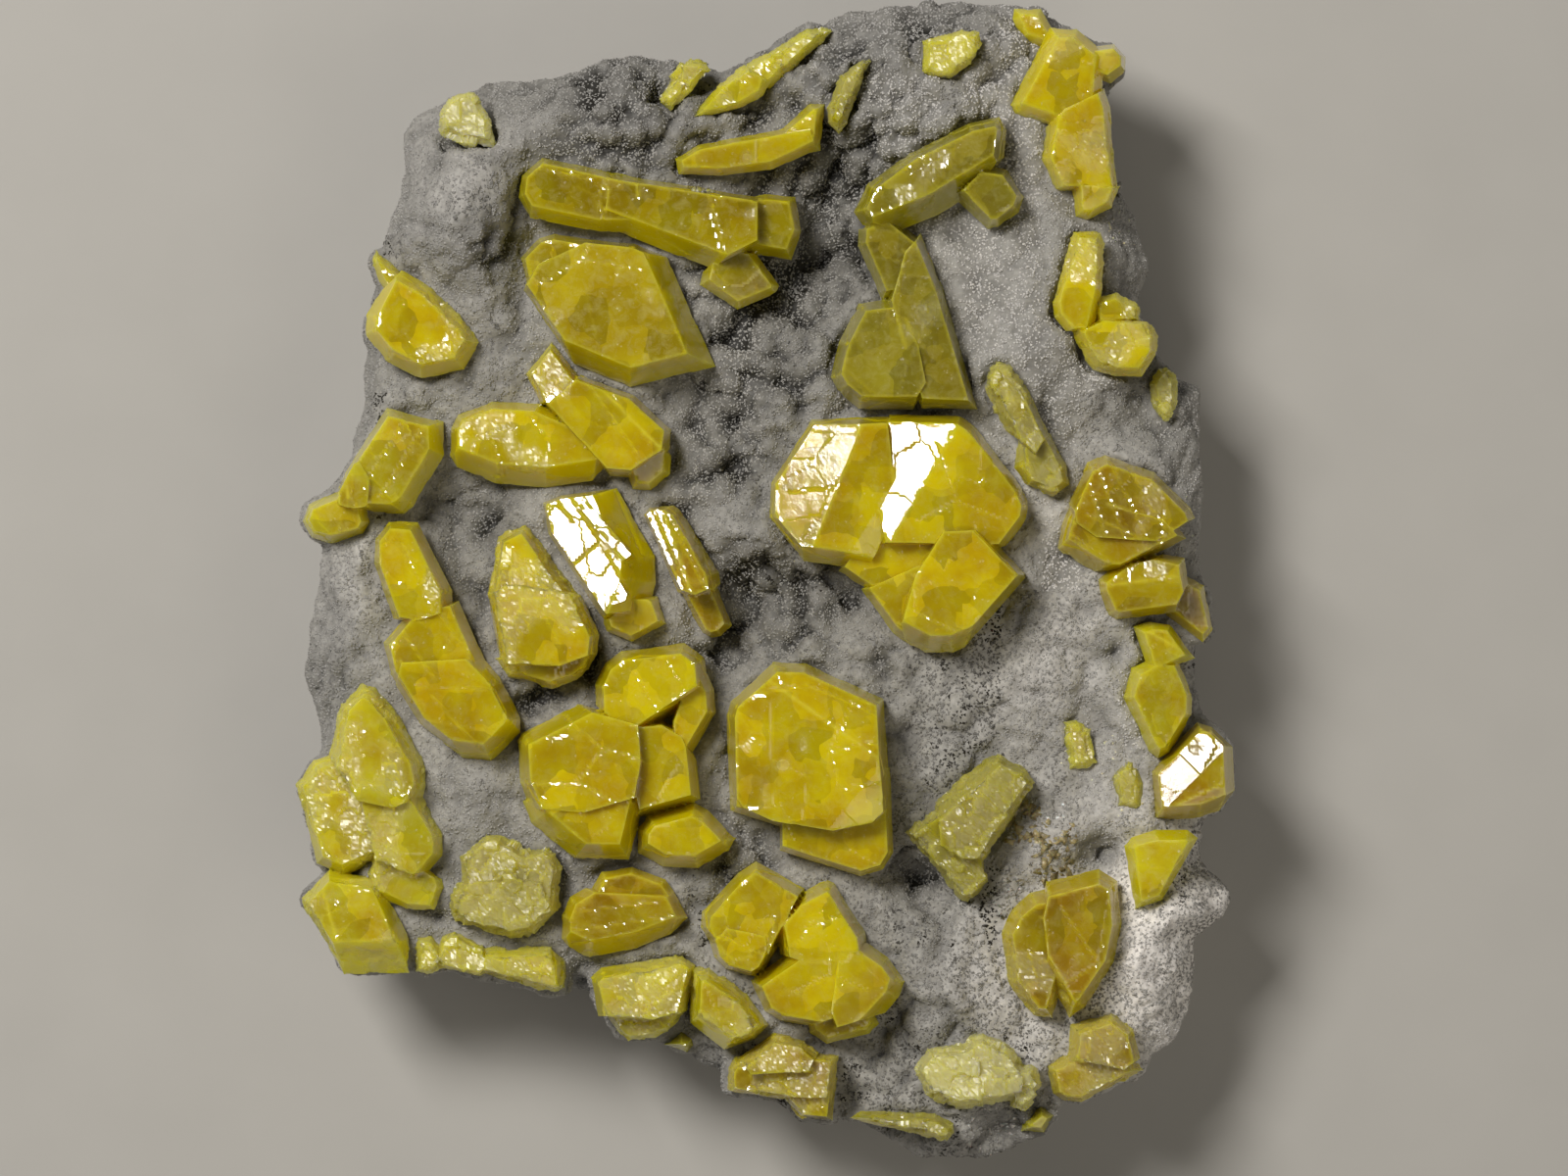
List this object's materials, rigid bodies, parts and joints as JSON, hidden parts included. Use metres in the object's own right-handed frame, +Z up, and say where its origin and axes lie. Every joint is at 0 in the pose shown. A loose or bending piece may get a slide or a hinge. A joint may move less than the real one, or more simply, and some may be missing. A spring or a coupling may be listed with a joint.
{
  "type": "native sulfur crystal specimen",
  "caption": "Native sulfur: glassy golden crystals with flat faces, grown singly and in clusters in a slab of drusy rock that lies on its flat back.",
  "frame": {"origin": "on the flat back of the slab, under the middle of its crusted face", "axes": "+Z up out of the crusted face, +Y along the slab's longer way, +X across it to the right"},
  "size_m": [0.1208, 0.1492, 0.0402],
  "materials": {
    "drusy_rock": "sparkling druse",
    "golden_sulfur": "bright resinous, see-through",
    "amber_sulfur": "bright resinous, see-through, brown to orange in its depth",
    "lemon_sulfur": "bright resinous, see-through, broken in places",
    "olive_sulfur": "resinous with glittering growth steps",
    "frosted_sulfur": "frosted by etching, glittering"
  },
  "bodies": {
    "root": {"limestone_matrix": "drusy_rock", "sulfur_amber_slab": "amber_sulfur", "sulfur_bottom_block": "amber_sulfur", "sulfur_bottom_chip": "olive_sulfur", "sulfur_bottom_group": "golden_sulfur", "sulfur_bottom_left_pair": "lemon_sulfur", "sulfur_bottom_olive_chip": "olive_sulfur", "sulfur_bottom_row": "lemon_sulfur", "sulfur_bottom_strip": "olive_sulfur", "sulfur_centre_right_group": "golden_sulfur", "sulfur_embedded_strip": "frosted_sulfur", "sulfur_embedded_tablet": "lemon_sulfur", "sulfur_flat_flake": "lemon_sulfur", "sulfur_frosted_cluster": "frosted_sulfur", "sulfur_frosted_lath": "frosted_sulfur", "sulfur_glazed_block": "golden_sulfur", "sulfur_great_block": "golden_sulfur", "sulfur_great_cluster": "golden_sulfur", "sulfur_leaning_pair": "golden_sulfur", "sulfur_left_column": "golden_sulfur", "sulfur_left_lath": "lemon_sulfur", "sulfur_left_rim_crystal": "golden_sulfur", "sulfur_lower_left_group": "lemon_sulfur", "sulfur_lower_right_group": "amber_sulfur", "sulfur_mirror_block": "golden_sulfur", "sulfur_mirror_corner": "amber_sulfur", "sulfur_mirror_prism": "amber_sulfur", "sulfur_olive_group": "olive_sulfur", "sulfur_olive_wedge": "olive_sulfur", "sulfur_oval_crystal": "amber_sulfur", "sulfur_pale_crust": "frosted_sulfur", "sulfur_pale_cushion": "frosted_sulfur", "sulfur_ridge_blade": "olive_sulfur", "sulfur_ridge_lath": "golden_sulfur", "sulfur_right_rim_block": "lemon_sulfur", "sulfur_right_rim_chip": "frosted_sulfur", "sulfur_right_rim_lath": "lemon_sulfur", "sulfur_right_rim_pair": "golden_sulfur", "sulfur_square_block": "golden_sulfur", "sulfur_striped_block": "amber_sulfur", "sulfur_top_blade": "lemon_sulfur", "sulfur_top_chip": "lemon_sulfur", "sulfur_upper_prism": "golden_sulfur", "sulfur_upper_right_group": "golden_sulfur"}
  },
  "joints": []
}
